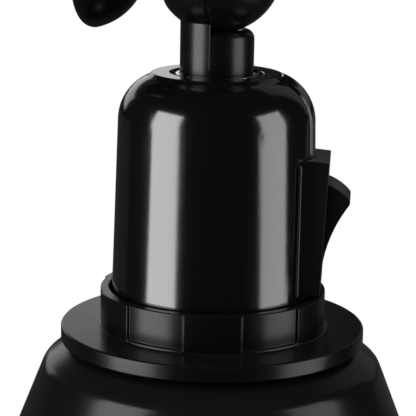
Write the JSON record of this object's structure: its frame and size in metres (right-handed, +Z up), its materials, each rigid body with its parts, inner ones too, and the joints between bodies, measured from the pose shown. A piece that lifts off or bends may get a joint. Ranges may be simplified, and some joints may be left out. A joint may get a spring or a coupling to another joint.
{
  "type": "wall sconce",
  "caption": "Black wall sconce: round wall plate, swinging tube arm, tilting ball knuckle with a hand knob, lamp holder with a rocker switch, ribbed shade ring and cone shade.",
  "frame": {"origin": "centre of the wall strap on the wall surface, midway between its two screw slots", "axes": "+Y into the wall, +Z up, +X to the right for someone facing the wall"},
  "size_m": [0.164, 0.282, 0.3162],
  "materials": {
    "black_metal": "satin",
    "cap_black": "gloss",
    "moulded_black": "satin",
    "bright_bush": "satin",
    "steel": "satin",
    "brass": "satin",
    "white_insulator": "matte",
    "friction_washer": "matte",
    "lead_cover": "matte"
  },
  "bodies": {
    "wall": {"wall_strap": "steel", "strap_studs": "steel", "earth_screw": "brass", "canopy": "black_metal", "canopy_nuts": "black_metal", "swivel_base": "black_metal", "tail_washer": "steel", "tail_nut": "steel", "base_cap": "black_metal", "pivot_washer": "friction_washer"},
    "arm": {"swivel_turret": "black_metal", "pivot_tube": "steel", "wave_washer": "steel", "pivot_nut": "steel", "turret_cap": "black_metal", "arm_tube": "black_metal", "arm_set_screw": "steel", "arm_leads": "lead_cover", "upper_knuckle": "black_metal", "knuckle_washer": "friction_washer"},
    "knob": {"tilt_knob": "moulded_black", "knob_stud": "steel", "knob_washer": "steel", "spring_washer": "steel"},
    "head": {"lower_knuckle": "black_metal", "holder_nipple": "steel", "cap_bush": "bright_bush", "cap_nut": "steel", "holder_cap": "cap_black", "holder_sleeve": "moulded_black", "holder_core": "white_insulator", "screw_shell": "brass", "centre_contact": "brass", "core_terminals": "brass", "terminal_screws": "steel", "head_leads": "lead_cover", "switch_frame": "moulded_black", "switch_terminals": "brass", "shade_ring": "moulded_black", "shade": "black_metal", "shade_lock_ring": "moulded_black"},
    "rocker": {"switch_rocker": "moulded_black", "rocker_plunger": "white_insulator", "plunger_spring": "steel"},
    "bridge": {"contact_bridge": "brass"}
  },
  "joints": [
    {"name": "arm_swing", "type": "hinge", "parent": "wall", "child": "arm", "pos_m": [0, -0.044, 0.0094], "axis": [0, 0, 1], "range_deg": [-60, 60]},
    {"name": "head_tilt", "type": "hinge", "parent": "arm", "child": "head", "pos_m": [0, -0.2, -0.0562], "axis": [-1, 0, 0], "range_deg": [-30, 90]},
    {"name": "knob_turn", "type": "hinge", "parent": "arm", "child": "knob", "pos_m": [0, -0.2, -0.0562], "axis": [-1, 0, 0], "continuous": true},
    {"name": "rocker_press", "type": "hinge", "parent": "head", "child": "rocker", "pos_m": [0.01866, -0.19771, -0.106], "axis": [0.1219, -0.9925, 0], "range_deg": [0, 34]},
    {"name": "bridge_tip", "type": "hinge", "parent": "head", "child": "bridge", "pos_m": [0.00998, -0.19877, -0.10564], "axis": [0.1219, -0.9925, 0], "range_deg": [-12, 0]}
  ],
  "couplings": [
    {"joint": "bridge_tip", "follows": "rocker_press", "ratio": -0.35294}
  ]
}
